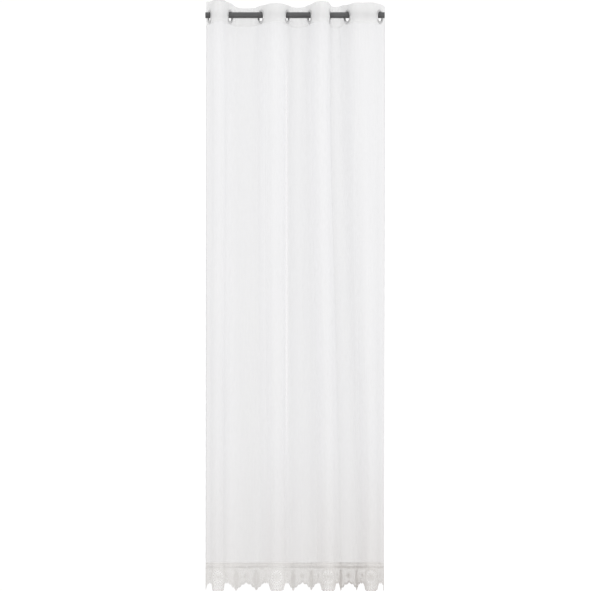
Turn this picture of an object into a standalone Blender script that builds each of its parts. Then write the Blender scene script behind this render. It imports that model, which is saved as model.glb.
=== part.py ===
"""Sheer voile curtain with an eyelet heading and a lace border, hung on a round rod.

Metres, +Z up. The origin is on the rod's axis, at the middle of its length.
+X runs along the rod to the right, and -Y is the front of the curtain.

The cloth is drawn flat first: "along" is the distance from its left edge, measured on the
cloth, and every piece of cloth is then laid on the same row of folds.
"""

import math
from collections import namedtuple
from functools import lru_cache

import bmesh
import bpy
import numpy as np

# Rod
ROD_DIAMETER = 0.025
ROD_LENGTH = 0.745
ROD_SIDES = 48
ROD_END_BEVEL = 0.0008

# Cloth, cut flat
CLOTH_WIDTH = 1.400
EYELET_PITCH = 0.184
EYELET_COUNT = 8
EDGE_TO_EYELET = (CLOTH_WIDTH - (EYELET_COUNT - 1) * EYELET_PITCH) / 2
HEADING_THICKNESS = 0.0020
VOILE_THICKNESS = 0.0012
BAND_THICKNESS = 0.0016
LACE_THICKNESS = 0.0014
SEAM_GAP = 0.0003

# Heights of the cloth's seams
TOP_EDGE = 0.0426
HEADING_SEAM = -0.0395
BAND_SEAM = -2.2745
LACE_SEAM = -2.2930
LACE_MIDDLE = -2.3250
LACE_ARCH_TOP = -2.3560

# Eyelets
EYELET_BORE_RADIUS = 0.0200
EYELET_SLEEVE_RADIUS = 0.0212
EYELET_RIM_RADIUS = 0.0290
EYELET_RIM_EDGE = 0.0008
EYELET_CROWN = 0.0023
EYELET_SIDES = 18
EYELET_HOLE_RADIUS = 0.0220
EYELET_REST_GAP = 0.0009
EYELET_BORE_FLAT = EYELET_BORE_RADIUS * math.cos(math.pi / EYELET_SIDES)
EYELET_HEIGHT = ROD_DIAMETER / 2 + EYELET_REST_GAP - EYELET_BORE_FLAT

# The cloth's mesh: upright columns, of which some on each side of an eyelet stay flat
COLUMNS_PER_PITCH = 12
FLAT_COLUMNS = 2
LACE_COLUMNS_PER_PITCH = 24
PANEL_ROWS = 12
STEPS_PER_COLUMN = 12
COLUMN_WIDTH = EYELET_PITCH / COLUMNS_PER_PITCH
FLAT_AT_EYELET = FLAT_COLUMNS * COLUMN_WIDTH

# How the folds change on the way down: the flat stretch at each eyelet line is gone by
# FLAT_FADE of the drop, and a fold rises by LIFT_RATE of what it comes forward.
FLAT_AT_HEM = 0.006
FLAT_FADE = 0.12
LIFT_RATE = 0.13
FIT_ROUNDS = 40
FIT_ERROR = 1e-8
FIT_NUDGE = 1e-6
FIT_LARGEST_CHANGE = 0.2

# Shading and welding
SHARP_ANGLE = math.radians(45)
WELD_DISTANCE = 1e-6

# Each line that hangs from an eyelet: its place across the curtain, and how steeply the
# cloth crosses the rod there, in degrees, at the heading and at the hem. rise is how far
# the top edge stands above its mean height.
EyeletLine = namedtuple("EyeletLine", "top_x top_slant hem_x hem_slant rise")
EYELET_LINES = (
    EyeletLine(-0.3545, 72, -0.3550, 70, 0.014),
    EyeletLine(-0.2700, 68, -0.2800, 64, 0.009),
    EyeletLine(-0.1415, 62, -0.1265, 60, -0.003),
    EyeletLine(-0.0330, 72, -0.0290, 70, 0.000),
    EyeletLine(0.0610, 72, 0.0915, 68, 0.001),
    EyeletLine(0.1440, 84, 0.1790, 74, 0.005),
    EyeletLine(0.2175, 62, 0.2750, 72, 0.001),
    EyeletLine(0.3525, 60, 0.3570, 70, 0.004),
)

# How far the top edge stands above its mean height in the middle of each fold, from left
# to right. The first fold comes forward, the second goes back, and so on.
FOLD_RISES = (0.008, -0.005, -0.006, 0.004, 0.000, 0.009, 0.002)
LEFT_CORNER_RISE = 0.022
RIGHT_CORNER_RISE = 0.000
LEFT_EDGE_TURN = 4
RIGHT_EDGE_TURN = 24

# Points of the lace: place along one repeat, half width, drop below the arches, and how
# hollow the sides are (1 is a straight-sided point, under 1 is a round fan).
LaceTooth = namedtuple("LaceTooth", "place half_width drop hollow")
LACE_REPEAT = 2 * EYELET_PITCH
LACE_TEETH = (
    LaceTooth(0.000, 0.052, 0.051, 0.60),
    LaceTooth(0.142, 0.044, 0.031, 1.50),
    LaceTooth(0.227, 0.042, 0.029, 1.50),
)
LACE_START = EDGE_TO_EYELET + EYELET_PITCH / 2


def clear_scene():
    for thing in list(bpy.data.objects):
        bpy.data.objects.remove(thing, do_unlink=True)


def finish(name, colour, roughness, metallic=0.0):
    material = bpy.data.materials.new(name)
    material.use_nodes = True
    shader = material.node_tree.nodes["Principled BSDF"]
    shader.inputs["Base Color"].default_value = (*colour, 1.0)
    shader.inputs["Roughness"].default_value = roughness
    shader.inputs["Metallic"].default_value = metallic
    return material


def add_object(name, mesh, material):
    thing = bpy.data.objects.new(name, mesh)
    bpy.context.collection.objects.link(thing)
    if not mesh.materials:
        mesh.materials.append(material)
    return thing


def eased(share):
    return share * share * (3 - 2 * share)


# ---------------------------------------------------------------- folds of the cloth


def column_places():
    """Where the mesh's columns lie along the flat cloth, with one on each eyelet's line."""
    flap = EDGE_TO_EYELET - FLAT_AT_EYELET
    first = [0.0, flap / 2, flap, flap + COLUMN_WIDTH]
    count = (EYELET_COUNT - 1) * COLUMNS_PER_PITCH + 1
    middle = [EDGE_TO_EYELET + i * COLUMN_WIDTH for i in range(count)]
    last = [CLOTH_WIDTH - place for place in reversed(first)]
    return np.array(first + middle + last)


def blend(start, end, share):
    return start + (end - start) * share


def fold_slants(share, start, end, fullness, lean):
    """How far the cloth is turned from the rod's direction, at each share of the way round a fold.

    It starts at -start, ends at end, and turns through nothing at the fold's tip. fullness
    squares the fold off, and lean tips it to one side.
    """
    swing = (start + end) / 2 - fullness
    offset = (end - start) / 2 - lean
    turned = offset + lean * np.cos(2 * math.pi * share)
    return turned - swing * np.cos(math.pi * share) - fullness * np.cos(3 * math.pi * share)


def walk(slants, step):
    """Points reached by walking over the cloth with these slants at the ends of each step."""
    between = (slants[1:] + slants[:-1]) / 2
    across = np.concatenate([[0.0], np.cumsum(np.cos(between)) * step])
    depth = np.concatenate([[0.0], np.cumsum(np.sin(between)) * step])
    return across, depth


def fold_curve(start, end, flat, width):
    """One fold, one pitch of cloth long, between two eyelet lines that are width apart.

    Newton's method finds the fullness and lean with which the fold ends on the rod's line.
    """
    steps = COLUMNS_PER_PITCH * STEPS_PER_COLUMN
    along = np.linspace(0, EYELET_PITCH, steps + 1)
    share = np.clip((along - flat) / (EYELET_PITCH - 2 * flat), 0, 1)
    step = EYELET_PITCH / steps

    def ends_off(values):
        across, depth = walk(fold_slants(share, start, end, *values), step)
        return np.array([across[-1] - width, depth[-1]])

    values = np.zeros(2)
    for _ in range(FIT_ROUNDS):
        off = ends_off(values)
        if np.abs(off).max() < FIT_ERROR:
            break
        slope = np.zeros((2, 2))
        for i in range(2):
            nudged = values.copy()
            nudged[i] += FIT_NUDGE
            slope[:, i] = (ends_off(nudged) - off) / FIT_NUDGE
        change = np.linalg.solve(slope, -off)
        values = values + change * min(1, FIT_LARGEST_CHANGE / np.abs(change).max())
    return walk(fold_slants(share, start, end, *values), step)


def flap_curve(slant, turn):
    """The cloth from the last eyelet to its edge, a flat stretch that then turns further."""
    steps = 2 * FLAT_COLUMNS * STEPS_PER_COLUMN
    flap = EDGE_TO_EYELET - FLAT_AT_EYELET
    along = np.linspace(0, EDGE_TO_EYELET, steps + 1)
    slants = slant + turn * np.clip((along - FLAT_AT_EYELET) / flap, 0, 1)
    return walk(slants, EDGE_TO_EYELET / steps)


@lru_cache(maxsize=None)
def section(level):
    """The folds seen from above, at level 0 (the heading) to 1 (the hem).

    Returns each column's place across the curtain and its depth behind the rod's axis.
    """
    drift = eased(level)
    places = [blend(line.top_x, line.hem_x, drift) for line in EYELET_LINES]
    slants = [math.radians(blend(line.top_slant, line.hem_slant, drift)) for line in EYELET_LINES]
    flat = blend(FLAT_AT_EYELET, FLAT_AT_HEM, eased(min(1, level / FLAT_FADE)))

    flap_x, flap_y = flap_curve(slants[0], math.radians(LEFT_EDGE_TURN))
    along = [np.linspace(0, EDGE_TO_EYELET, len(flap_x))]
    across = [(places[0] - flap_x)[::-1]]
    depth = [flap_y[::-1]]

    for i in range(EYELET_COUNT - 1):
        x, y = fold_curve(slants[i], slants[i + 1], flat, places[i + 1] - places[i])
        side = 1 if i % 2 == 0 else -1
        start = EDGE_TO_EYELET + i * EYELET_PITCH
        along.append(start + np.linspace(0, EYELET_PITCH, len(x)))
        across.append(places[i] + x)
        depth.append(side * y)

    flap_x, flap_y = flap_curve(slants[-1], math.radians(RIGHT_EDGE_TURN))
    along.append(CLOTH_WIDTH - EDGE_TO_EYELET + np.linspace(0, EDGE_TO_EYELET, len(flap_x)))
    across.append(places[-1] + flap_x)
    depth.append(flap_y)

    along = np.concatenate(along)
    columns = column_places()
    return (
        np.interp(columns, along, np.concatenate(across)),
        np.interp(columns, along, np.concatenate(depth)),
    )


def fold_level(height):
    """0 in the heading, and from there to 1 at the band."""
    return round(min(1, max(0, (HEADING_SEAM - height) / (HEADING_SEAM - BAND_SEAM))), 6)


def lift(depth, level):
    """Folds that come forward ride up a little, and those that go back hang lower.

    The cloth stays level where an eyelet clamps it.
    """
    clamped = EYELET_RIM_RADIUS * (1 - min(1, level / FLAT_FADE))
    return -LIFT_RATE * math.copysign(max(0, abs(depth) - clamped), depth)


def hang(along, height):
    """Where a point of the flat cloth hangs."""
    level = fold_level(height)
    across, depths = section(level)
    columns = column_places()
    x = float(np.interp(along, columns, across))
    y = float(np.interp(along, columns, depths))
    return x, y, height + lift(y, level)


def top_rise(along):
    """How far the top edge stands above its mean height, along the cloth."""
    places = [0.0]
    rises = [LEFT_CORNER_RISE]
    for i, line in enumerate(EYELET_LINES):
        place = EDGE_TO_EYELET + i * EYELET_PITCH
        places.append(place)
        rises.append(line.rise)
        if i < len(FOLD_RISES):
            places.append(place + EYELET_PITCH / 2)
            rises.append(FOLD_RISES[i])
    places.append(CLOTH_WIDTH)
    rises.append(RIGHT_CORNER_RISE)
    i = min(len(places) - 2, max(0, int(np.searchsorted(places, along, side="right")) - 1))
    share = (along - places[i]) / (places[i + 1] - places[i])
    return blend(rises[i], rises[i + 1], eased(share))


# ---------------------------------------------------------------- pieces of cloth


def drop_loose_points(mesh):
    shape = bmesh.new()
    shape.from_mesh(mesh)
    loose = [point for point in shape.verts if not point.link_faces]
    bmesh.ops.delete(shape, geom=loose, context="VERTS")
    shape.to_mesh(mesh)
    shape.free()


def sheet_object(name, points, faces, thickness, material):
    """A closed sheet of cloth, with half of its thickness on each side of the given points."""
    mesh = bpy.data.meshes.new(name)
    mesh.from_pydata(points, [], faces)
    drop_loose_points(mesh)
    thing = add_object(name, mesh, material)
    body = thing.modifiers.new("Thickness", "SOLIDIFY")
    body.thickness = thickness
    body.offset = 0
    body.use_even_offset = True
    mesh.shade_smooth()
    return thing


def grid_faces(columns, rows):
    """Quads of a grid whose points are listed row by row, from the top row down."""
    faces = []
    for row in range(rows - 1):
        for column in range(columns - 1):
            corner = row * columns + column
            faces.append((corner, corner + columns, corner + columns + 1, corner + 1))
    return faces


def cloth_grid(name, columns, row_heights, thickness, material):
    """A sheet between its top and bottom rows, each row's heights given at every column."""
    points = [
        hang(along, height) for heights in row_heights for along, height in zip(columns, heights)
    ]
    return sheet_object(name, points, grid_faces(len(columns), len(row_heights)), thickness, material)


def add_heading(material):
    """The stiff heading, with a round hole in a flat square at each eyelet."""
    above = EYELET_HOLE_RADIUS * math.sin(math.pi / 4)
    middle = EYELET_HEIGHT
    bottom = HEADING_SEAM + SEAM_GAP / 2
    inner_rows = [middle + above, middle, middle - above]
    columns = column_places()
    rows = len(inner_rows) + 2
    span = 2 * FLAT_COLUMNS

    points = []
    for row in range(rows):
        for along in columns:
            heights = [TOP_EDGE + top_rise(along), *inner_rows, bottom]
            points.append(hang(along, heights[row]))

    first_start = int(np.argmin(np.abs(columns - EDGE_TO_EYELET))) - FLAT_COLUMNS
    flat_starts = [first_start + i * COLUMNS_PER_PITCH for i in range(EYELET_COUNT)]
    flat_columns = {start + i for start in flat_starts for i in range(span)}
    faces = []
    for face in grid_faces(len(columns), rows):
        if face[0] % len(columns) not in flat_columns:
            faces.append(face)

    for start in flat_starts:
        rim = [(row, start) for row in range(rows)]
        rim += [(rows - 1, start + i) for i in range(1, span)]
        rim += [(row, start + span) for row in reversed(range(rows))]
        rim += [(0, start + i) for i in reversed(range(1, span))]
        outer = [row * len(columns) + column for row, column in rim]
        centre = columns[start + FLAT_COLUMNS]
        hole = []
        for i in range(len(rim)):
            angle = 3 * math.pi / 4 + 2 * math.pi * i / len(rim)
            hole.append(len(points))
            points.append(
                hang(
                    centre + EYELET_HOLE_RADIUS * math.cos(angle),
                    middle + EYELET_HOLE_RADIUS * math.sin(angle),
                )
            )
        for i in range(len(rim)):
            following = (i + 1) % len(rim)
            faces.append((outer[i], outer[following], hole[following], hole[i]))
    return sheet_object("heading", points, faces, HEADING_THICKNESS, material)


def add_voile_panel(material):
    columns = column_places()
    top = HEADING_SEAM - SEAM_GAP / 2
    bottom = BAND_SEAM + SEAM_GAP / 2
    heights = np.linspace(top, bottom, PANEL_ROWS + 1)
    rows = [[height] * len(columns) for height in heights]
    return cloth_grid("voile_panel", columns, rows, VOILE_THICKNESS, material)


def add_footing_band(material):
    columns = column_places()
    top = BAND_SEAM - SEAM_GAP / 2
    bottom = LACE_SEAM + SEAM_GAP / 2
    rows = [[top] * len(columns), [bottom] * len(columns)]
    return cloth_grid("footing_band", columns, rows, BAND_THICKNESS, material)


def lace_edge(along):
    """Height of the lace's lower edge: arches, with a point or a fan at each tooth."""
    phase = (along - LACE_START) % LACE_REPEAT
    drop = 0.0
    for tooth in LACE_TEETH:
        away = abs(phase - tooth.place)
        away = min(away, LACE_REPEAT - away)
        share = max(0, 1 - away / tooth.half_width)
        drop = max(drop, tooth.drop * share**tooth.hollow)
    return LACE_ARCH_TOP - drop


def add_lace_border(material):
    finer = LACE_COLUMNS_PER_PITCH // COLUMNS_PER_PITCH
    places = column_places()
    columns = [
        start + (end - start) * i / finer
        for start, end in zip(places[:-1], places[1:])
        for i in range(finer)
    ]
    columns.append(places[-1])
    rows = [
        [LACE_SEAM - SEAM_GAP / 2] * len(columns),
        [LACE_MIDDLE] * len(columns),
        [lace_edge(along) for along in columns],
    ]
    return cloth_grid("lace_border", columns, rows, LACE_THICKNESS, material)


# ---------------------------------------------------------------- rod and eyelets


def add_rod(material):
    shape = bmesh.new()
    bmesh.ops.create_cone(
        shape,
        cap_ends=True,
        segments=ROD_SIDES,
        radius1=ROD_DIAMETER / 2,
        radius2=ROD_DIAMETER / 2,
        depth=ROD_LENGTH,
    )
    mesh = bpy.data.meshes.new("rod")
    shape.to_mesh(mesh)
    shape.free()
    mesh.shade_smooth()
    mesh.set_sharp_from_angle(angle=SHARP_ANGLE)
    rod = add_object("rod", mesh, material)
    rod.rotation_euler = (0, math.pi / 2, 0)
    ends = rod.modifiers.new("Broken edge", "BEVEL")
    ends.width = ROD_END_BEVEL
    ends.segments = 1
    ends.limit_method = "ANGLE"
    ends.angle_limit = SHARP_ANGLE
    return rod


def turned_mesh(name, profile):
    """A closed ring: the profile's (radius, height) points turned about +Z."""
    shape = bmesh.new()
    corners = [shape.verts.new((radius, 0, height)) for radius, height in profile]
    loop = [shape.edges.new((a, b)) for a, b in zip(corners, corners[1:] + corners[:1])]
    bmesh.ops.spin(
        shape,
        geom=corners + loop,
        axis=(0, 0, 1),
        cent=(0, 0, 0),
        steps=EYELET_SIDES,
        angle=2 * math.pi,
        use_merge=True,
    )
    bmesh.ops.remove_doubles(shape, verts=shape.verts, dist=WELD_DISTANCE)
    bmesh.ops.recalc_face_normals(shape, faces=shape.faces)
    mesh = bpy.data.meshes.new(name)
    shape.to_mesh(mesh)
    shape.free()
    mesh.shade_smooth()
    mesh.set_sharp_from_angle(angle=SHARP_ANGLE)
    return mesh


def eyelet_profiles():
    """Sections of the two halves: the front one has the sleeve, the back one snaps over it."""
    seat = HEADING_THICKNESS / 2 + SEAM_GAP
    edge = seat + EYELET_RIM_EDGE
    crown = seat + EYELET_CROWN
    crown_radius = (EYELET_BORE_RADIUS + EYELET_RIM_RADIUS) / 2
    snap_radius = EYELET_SLEEVE_RADIUS + SEAM_GAP
    front = (
        (EYELET_BORE_RADIUS, -crown),
        (EYELET_SLEEVE_RADIUS, -crown),
        (EYELET_SLEEVE_RADIUS, seat),
        (EYELET_RIM_RADIUS, seat),
        (EYELET_RIM_RADIUS, edge),
        (crown_radius, crown),
        (EYELET_BORE_RADIUS, edge),
    )
    back = (
        (snap_radius, -seat),
        (EYELET_RIM_RADIUS, -seat),
        (EYELET_RIM_RADIUS, -edge),
        (crown_radius, -crown),
        (snap_radius, -crown),
    )
    return front, back


def add_eyelets(material):
    front, back = eyelet_profiles()
    halves = {
        "eyelet_front": turned_mesh("eyelet_front", front),
        "eyelet_back": turned_mesh("eyelet_back", back),
    }
    for i, line in enumerate(EYELET_LINES):
        slant = math.radians(line.top_slant) * (-1 if i % 2 == 0 else 1)
        for name, mesh in halves.items():
            half = add_object(f"{name}_{i + 1}", mesh, material)
            half.location = (line.top_x, 0, EYELET_HEIGHT)
            half.rotation_euler = (math.pi / 2, 0, slant)


clear_scene()
add_rod(finish("rod_steel", (0.13, 0.13, 0.135), 0.38, 0.9))
add_heading(finish("heading_cloth", (0.80, 0.80, 0.80), 0.85))
add_voile_panel(finish("voile", (0.86, 0.86, 0.87), 0.80))
add_footing_band(finish("band_cloth", (0.78, 0.77, 0.76), 0.85))
add_lace_border(finish("lace", (0.74, 0.72, 0.70), 0.88))
add_eyelets(finish("eyelet_metal", (0.62, 0.62, 0.63), 0.30, 1.0))
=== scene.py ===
import math
from collections import namedtuple

import bpy
import numpy as np
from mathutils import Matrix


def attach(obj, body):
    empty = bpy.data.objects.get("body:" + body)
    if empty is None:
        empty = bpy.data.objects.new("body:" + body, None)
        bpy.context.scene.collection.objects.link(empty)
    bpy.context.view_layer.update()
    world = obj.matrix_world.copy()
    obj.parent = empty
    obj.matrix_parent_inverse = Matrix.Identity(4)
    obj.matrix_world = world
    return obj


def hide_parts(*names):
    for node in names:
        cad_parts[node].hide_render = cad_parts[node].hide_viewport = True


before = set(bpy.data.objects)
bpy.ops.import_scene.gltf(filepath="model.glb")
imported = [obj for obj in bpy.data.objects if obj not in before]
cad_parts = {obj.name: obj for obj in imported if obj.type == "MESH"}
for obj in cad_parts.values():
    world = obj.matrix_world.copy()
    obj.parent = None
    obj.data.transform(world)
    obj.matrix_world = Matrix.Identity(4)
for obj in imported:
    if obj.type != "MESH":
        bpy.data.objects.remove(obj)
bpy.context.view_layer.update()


# -------- Rod
# One length of round steel tube, 25 mm across, sprayed a satin dark grey. Its ends are cut
# square and just broken. Its upper half is painted paler, as painted top light, and along its
# very top, where the eyelets slide, the spray is rubbed thin in fine lines.

ROD_RADIUS = 0.0125
# The upper half, from the first height here, is painted paler as painted top light.
TOP_LIGHT_FROM = -0.0010
RUBBED_FROM = 0.0112
RUBBED_BARE_FROM = 0.0124
DARK_SPRAY = (0.074, 0.074, 0.076)
PALE_SPRAY = (0.102, 0.102, 0.104)
# Pale steel: bare in the rubbed lines, and mixed a little into the painted top light.
BARE_STEEL_AND_TOP_LIGHT = (0.30, 0.30, 0.31)


class Tone:
    """A socket in a finish's nodes. Arithmetic on it adds the Math node that works it out."""

    def __init__(self, tree, socket=None):
        self.tree = tree
        self.socket = socket

    def node(self, kind, settings=None, sockets=None, output=0):
        """Adds any other node: its settings first, then its sockets' values or links."""
        made = self.tree.nodes.new(kind)
        for name, value in (settings or {}).items():
            setattr(made, name, value)
        for name, value in (sockets or {}).items():
            if isinstance(value, Tone):
                self.tree.links.new(value.socket, made.inputs[name])
            else:
                made.inputs[name].default_value = value
        return Tone(self.tree, None if output is None else made.outputs[output])

    def maths(self, operation, *values):
        return self.node("ShaderNodeMath", {"operation": operation}, dict(enumerate(values)))

    def __add__(self, other):
        return self.maths("ADD", self, other)

    def __sub__(self, other):
        return self.maths("SUBTRACT", self, other)

    def __rsub__(self, other):
        return self.maths("SUBTRACT", other, self)

    def __mul__(self, other):
        return self.maths("MULTIPLY", self, other)

    __radd__ = __add__
    __rmul__ = __mul__

    def within(self, low, high):
        """0 up to low, 1 from high, and an even climb between them."""
        climb = (self - low) * (1 / (high - low))
        return self.maths("MINIMUM", self.maths("MAXIMUM", climb, 0.0), 1.0)

    def colours(self, at_nothing, at_one):
        """A colour between two, as far along as this value says."""
        ends = [end if isinstance(end, Tone) else (*end, 1.0) for end in (at_nothing, at_one)]
        sockets = {0: self, 6: ends[0], 7: ends[1]}
        return self.node("ShaderNodeMix", {"data_type": "RGBA"}, sockets, output=2)

    def stretched(self, scale):
        """A place, stretched by a scale for each axis where they are given."""
        sockets = {"Vector": self, "Scale": scale or (1.0, 1.0, 1.0)}
        return self.node("ShaderNodeMapping", None, sockets)

    def metres(self, *scale):
        """Places on a piece, in metres."""
        return self.node("ShaderNodeTexCoord", output="Object").stretched(scale)

    def cut(self, *scale):
        """Places on the cut cloth, in metres."""
        return self.node("ShaderNodeUVMap", {"uv_map": "cut"}).stretched(scale)

    def axis(self, name):
        """How far a place lies along "X", "Y" or "Z"."""
        return self.node("ShaderNodeSeparateXYZ", None, {"Vector": self}, output=name)

    def cloudy(self, scale=1.0, detail=3.0):
        """Soft uneven patches over a place, from 0 to 1."""
        sockets = {"Vector": self, "Scale": scale, "Detail": detail}
        return self.node("ShaderNodeTexNoise", None, sockets)

    def relief(self, depth, strength=1.0):
        """A slight relief, with this value as its height."""
        sockets = {"Height": self, "Distance": depth, "Strength": strength}
        return self.node("ShaderNodeBump", None, sockets)

    def surface(self, **sockets):
        """The usual shader. A socket such as Base Color is given as base_color."""
        sockets = {name.replace("_", " ").title(): value for name, value in sockets.items()}
        return self.node("ShaderNodeBsdfPrincipled", None, sockets)

    def mixed(self, share, first, second):
        """Two shaders mixed, with this share of the second."""
        return self.node("ShaderNodeMixShader", None, {0: share, 1: first, 2: second})

    def close(self):
        """Makes this shader the whole of its finish."""
        self.node("ShaderNodeOutputMaterial", None, {"Surface": self}, output=None)


def new_finish(name):
    """An empty finish, as the Tone that its nodes are added from."""
    finish = bpy.data.materials.new(name)
    finish.use_nodes = True
    finish.node_tree.nodes.clear()
    return Tone(finish.node_tree)


def satin_grey_spray():
    tone = new_finish("satin_grey_spray")
    metres = tone.metres()
    height = metres.axis("Z")
    grain = metres.cloudy(900.0)
    lines = tone.metres(9.0, 900.0, 900.0).cloudy(detail=4.0)
    rubbed = height.within(RUBBED_FROM, RUBBED_BARE_FROM) * lines.within(0.52, 0.66)
    # Painted top light: the upper half is mixed a little towards pale steel.
    painted_top_light = height.within(TOP_LIGHT_FROM, ROD_RADIUS) * 0.24
    cloud = tone.metres(14.0, 60.0, 60.0).cloudy().within(0.3, 0.7)
    # Rubbed wear and painted top light, whichever is the more.
    wear_and_top_light = tone.maths("MAXIMUM", rubbed * 0.55, painted_top_light)
    shader = tone.surface(
        base_color=wear_and_top_light.colours(cloud.colours(DARK_SPRAY, PALE_SPRAY), BARE_STEEL_AND_TOP_LIGHT),
        metallic=rubbed * 0.6,
        roughness=0.36 + grain * 0.16,
        normal=(grain + lines * 0.4).relief(0.00006),
    )
    shader.close()


def wear(piece, finish):
    piece.data.materials.clear()
    piece.data.materials.append(bpy.data.materials[finish])


satin_grey_spray()
wear(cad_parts["rod"], "satin_grey_spray")


# -------- Eyelets
# Eight pressed rings in satin silver metal, 58 mm across. The front half is domed and has a
# sleeve that passes through the cloth; the back half snaps over the sleeve from behind. Each
# hangs on the rod by the top of its bore, turned with the cloth that it clamps.

EYELET_HEIGHT = -0.0063
RING_SIDES = 72
BRIGHT_SILVER = (0.76, 0.76, 0.76)
DULLED_SILVER = (0.64, 0.64, 0.645)

# The line of cloth down through each eyelet: its place across and its slant from the rod in
# degrees, at the top and at the hem, and how far the top edge stands above its mean there.
EyeletLine = namedtuple("EyeletLine", "top_x top_slant hem_x hem_slant rise")
EYELET_LINES = (
    EyeletLine(-0.3545, 72, -0.3550, 70, 0.014),
    EyeletLine(-0.2700, 68, -0.2800, 64, 0.009),
    EyeletLine(-0.1415, 62, -0.1265, 60, -0.003),
    EyeletLine(-0.0330, 72, -0.0290, 70, 0.000),
    EyeletLine(0.0610, 72, 0.0915, 68, 0.001),
    EyeletLine(0.1440, 84, 0.1790, 74, 0.005),
    EyeletLine(0.2175, 62, 0.2750, 72, 0.001),
    EyeletLine(0.3525, 60, 0.3570, 70, 0.004),
)

# Sections of the two halves: distance from the ring's axis, and depth behind the cloth's
# middle, in millimetres.
FRONT_SECTION = (
    (21.20, 2.90), (21.20, -0.85), (28.60, -0.85), (29.00, -1.20), (28.75, -1.95), (27.60, -2.90),
    (26.00, -3.45), (24.40, -3.58), (22.60, -3.30), (21.00, -2.60), (19.75, -1.55), (19.05, -0.20),
    (18.95, 1.20), (19.10, 2.50), (19.60, 3.30), (20.30, 3.58), (20.95, 3.40),
)
BACK_SECTION = (
    (21.50, 0.85), (28.60, 0.85), (29.00, 1.20), (28.70, 1.90), (27.40, 2.70), (25.40, 3.15),
    (23.40, 3.10), (22.10, 2.75), (21.50, 2.20),
)


def turned_ring(name, section):
    """One circle, drawn out and resized through each step of the section, back to its start."""
    bpy.ops.object.select_all(action="DESELECT")
    radius, depth = (size / 1000 for size in section[0])
    bpy.ops.mesh.primitive_circle_add(
        vertices=RING_SIDES, radius=radius, location=(0, depth, 0), rotation=(math.pi / 2, 0, 0)
    )
    ring = bpy.context.object
    ring.name = name
    bpy.ops.object.transform_apply(location=True, rotation=True, scale=True)
    bpy.ops.object.mode_set(mode="EDIT")
    bpy.ops.mesh.select_all(action="SELECT")
    for start, end in zip(section, section[1:] + section[:1]):
        bpy.ops.mesh.extrude_edges_move(
            TRANSFORM_OT_translate={"value": (0, (end[1] - start[1]) / 1000, 0)}
        )
        grown = end[0] / start[0]
        bpy.ops.transform.resize(value=(grown, 1, grown), center_override=(0, 0, 0))
    bpy.ops.mesh.select_all(action="SELECT")
    bpy.ops.mesh.remove_doubles(threshold=1e-6)
    bpy.ops.mesh.normals_make_consistent(inside=False)
    bpy.ops.object.mode_set(mode="OBJECT")
    bpy.ops.object.shade_smooth_by_angle(angle=math.radians(50))
    return ring


def satin_silver():
    tone = new_finish("satin_silver")
    metres = tone.metres()
    grain = metres.cloudy(1400.0, 2.0)
    dull = metres.cloudy(60.0).within(0.35, 0.7)
    shader = tone.surface(
        base_color=dull.colours(BRIGHT_SILVER, DULLED_SILVER),
        metallic=1.0,
        roughness=0.24 + dull * 0.10 + grain * 0.06,
        normal=grain.relief(0.00002),
    )
    shader.close()


def new_object(name, data):
    made = bpy.data.objects.new(name, data)
    bpy.context.collection.objects.link(made)
    return made


def select_only(piece):
    bpy.ops.object.select_all(action="DESELECT")
    piece.select_set(True)
    bpy.context.view_layer.objects.active = piece


def half_rings(side, section):
    """One half modelled, and a copy of it for each of the other eyelets."""
    rings = [turned_ring(f"ring_{side}_1", section)]
    for i in range(1, len(EYELET_LINES)):
        rings.append(new_object(f"ring_{side}_{i + 1}", rings[0].data.copy()))
    return rings


def hang_ring(ring, line, turned_back):
    select_only(ring)
    turn = math.radians(line.top_slant)
    ring.rotation_euler = (0, 0, -turn if turned_back else turn)
    ring.location = (line.top_x, 0, EYELET_HEIGHT)
    bpy.ops.object.transform_apply(location=True, rotation=True, scale=True)


satin_silver()
for side, section in (("front", FRONT_SECTION), ("back", BACK_SECTION)):
    for i, half in enumerate(half_rings(side, section)):
        wear(half, "satin_silver")
        hang_ring(half, EYELET_LINES[i], turned_back=i % 2 == 0)
        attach(half, "root")
        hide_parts(f"eyelet_{side}_{i + 1}")


# -------- Heading
# The top 82 mm of the cloth, turned over a stiffening tape and closed along its lower edge by
# a row of lockstitches. It is nearly opaque, and is made sheerer where a fold is drawn behind
# the rod, as painted light in that shaded recess.
# It holds the eyelets in flat places and so sets the rhythm of the folds below.

CLOTH_WIDTH = 1.400
EYELET_PITCH = 0.184
EDGE_TO_EYELET = 0.056
TOP_EDGE = 0.0426
HEADING_SEAM = -0.0395
BAND_SEAM = -2.2745
HEADING_THICKNESS = 0.0016
HEADING_COLUMNS = 421
HEADING_ROWS = 25
TURNED_EDGE = 0.0005

# A hole for an eyelet: its radius, how far outside it the mesh is cut away, and how far
# outside it the mesh's points are drawn in to its edge.
HEADING_HOLE = 0.0222
HOLE_CUT = 0.0008
HOLE_DRAWN = 0.0024

# A fold is made sheerer, as painted light in the shade behind the rod, from this far before
# the rod's axis to as far behind it, and cloth is painted darker, as painted shade, from the
# one height down to the other.
FULLY_BEHIND = 0.036
PAINTED_SHADE_BELOW = -1.80
DEEPEST_PAINTED_SHADE_BELOW = -2.40

STITCH_LENGTH = 0.0030
STITCHES_UP = 0.0030
STITCHES_IN = 0.002
THREAD_HALF_WIDTH = 0.00027
THREAD_HALF_DEPTH = 0.00018
THREAD_PROUD = 0.00012

# How much cloth lies flat on each side of an eyelet (a sixth of the pitch) and of its line at
# the hem, and the level, from 0 at the heading to 1 at the band, at which the hem's begins.
FLAT_AT_EYELET = 0.0306667
FLAT_AT_HEM = 0.006
FLAT_FADE = 0.12

# Forward of the eyelets' rims the cloth hangs this much higher for each metre, and behind
# them as much lower.
LIFT_RATE = 0.13
EYELET_RIM_RADIUS = 0.029

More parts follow.
